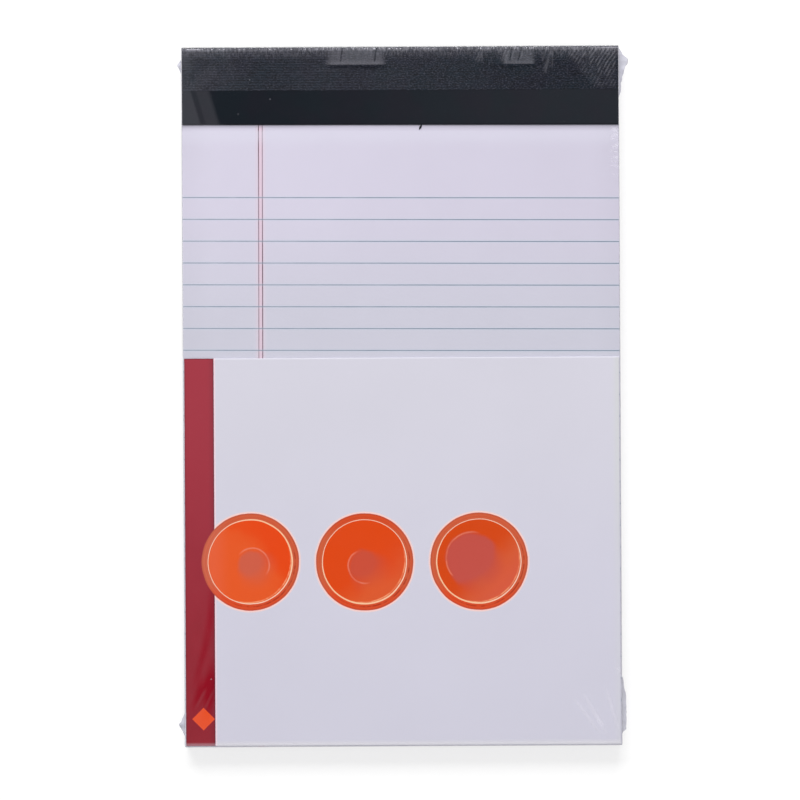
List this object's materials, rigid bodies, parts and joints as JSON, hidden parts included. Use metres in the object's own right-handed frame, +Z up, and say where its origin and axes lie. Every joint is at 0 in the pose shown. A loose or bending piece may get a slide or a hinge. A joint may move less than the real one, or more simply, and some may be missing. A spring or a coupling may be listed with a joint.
{
  "type": "legal pad",
  "caption": "Narrow ruled writing pad with a black stitched binding strip, a chipboard back, a loose printed card on the front and a clear shrink film round it.",
  "frame": {"origin": "middle of the underside, at the bottom centre of the whole pad with its film and the film's ears", "axes": "+X across the pad to the reader's right, +Y from the foot to the bound head, +Z up out of the ruled front; the pad lies on its backing board"},
  "size_m": [0.1322, 0.2038, 0.0064],
  "materials": {
    "writing_paper": "matte",
    "chipboard": "matte",
    "strip_paper": "satin",
    "stitching_wire": "satin",
    "printed_card": "satin",
    "clear_film": "gloss"
  },
  "bodies": {
    "root": {"sheet_block": "writing_paper", "backing_board": "chipboard", "binding_strip": "strip_paper", "staple_left": "stitching_wire", "staple_right": "stitching_wire", "insert_card": "printed_card", "shrink_film": "clear_film"}
  },
  "joints": []
}
